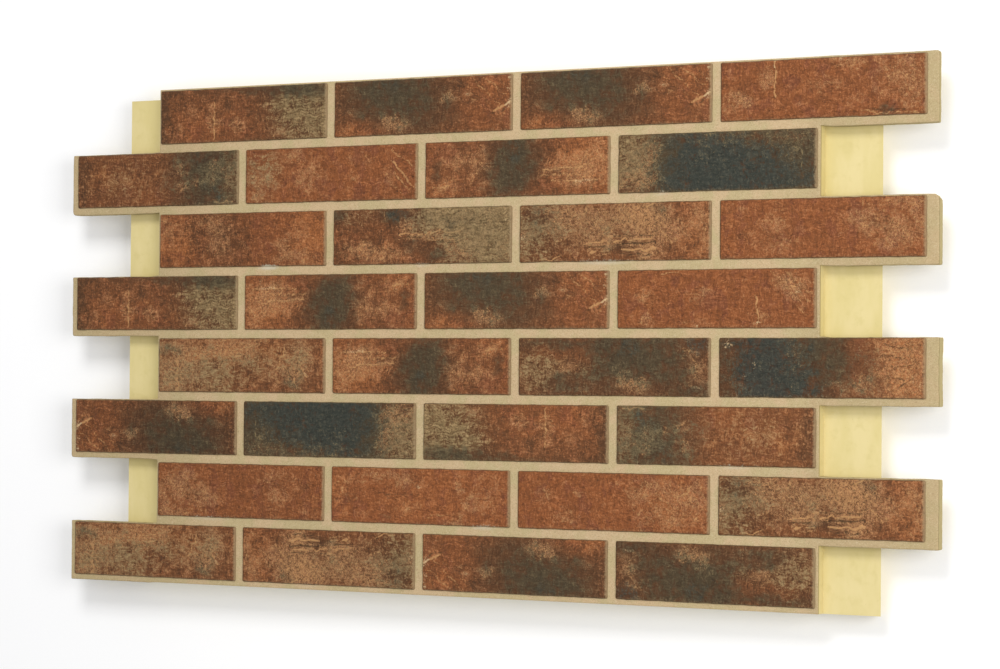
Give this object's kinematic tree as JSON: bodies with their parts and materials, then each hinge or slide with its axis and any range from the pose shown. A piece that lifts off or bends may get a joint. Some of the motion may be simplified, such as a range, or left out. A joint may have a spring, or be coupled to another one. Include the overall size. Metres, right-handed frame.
{
  "type": "insulated facade panel",
  "caption": "Rigid foam plate faced with courses of glazed brick slips in running bond, with sanded joints and toothed sides that interlock with the next panel.",
  "frame": {"origin": "middle of the length and height of the foam plate, on its back", "axes": "+X along the courses, +Y up the wall, +Z out of the wall, towards the faces of the slips"},
  "size_m": [1.156, 0.5972, 0.04],
  "materials": {
    "foam": "smooth moulded skin",
    "joint_sand": "fine sanded",
    "slip_glaze": "satin glaze with burnt patches"
  },
  "bodies": {
    "root": {"foam_core": "foam", "joint_grout": "joint_sand", "slip_r1_c1": "slip_glaze", "slip_r1_c2": "slip_glaze", "slip_r1_c3": "slip_glaze", "slip_r1_c4": "slip_glaze", "slip_r2_c1": "slip_glaze", "slip_r2_c2": "slip_glaze", "slip_r2_c3": "slip_glaze", "slip_r2_c4": "slip_glaze", "slip_r3_c1": "slip_glaze", "slip_r3_c2": "slip_glaze", "slip_r3_c3": "slip_glaze", "slip_r3_c4": "slip_glaze", "slip_r4_c1": "slip_glaze", "slip_r4_c2": "slip_glaze", "slip_r4_c3": "slip_glaze", "slip_r4_c4": "slip_glaze", "slip_r5_c1": "slip_glaze", "slip_r5_c2": "slip_glaze", "slip_r5_c3": "slip_glaze", "slip_r5_c4": "slip_glaze", "slip_r6_c1": "slip_glaze", "slip_r6_c2": "slip_glaze", "slip_r6_c3": "slip_glaze", "slip_r6_c4": "slip_glaze", "slip_r7_c1": "slip_glaze", "slip_r7_c2": "slip_glaze", "slip_r7_c3": "slip_glaze", "slip_r7_c4": "slip_glaze", "slip_r8_c1": "slip_glaze", "slip_r8_c2": "slip_glaze", "slip_r8_c3": "slip_glaze", "slip_r8_c4": "slip_glaze"}
  },
  "joints": []
}
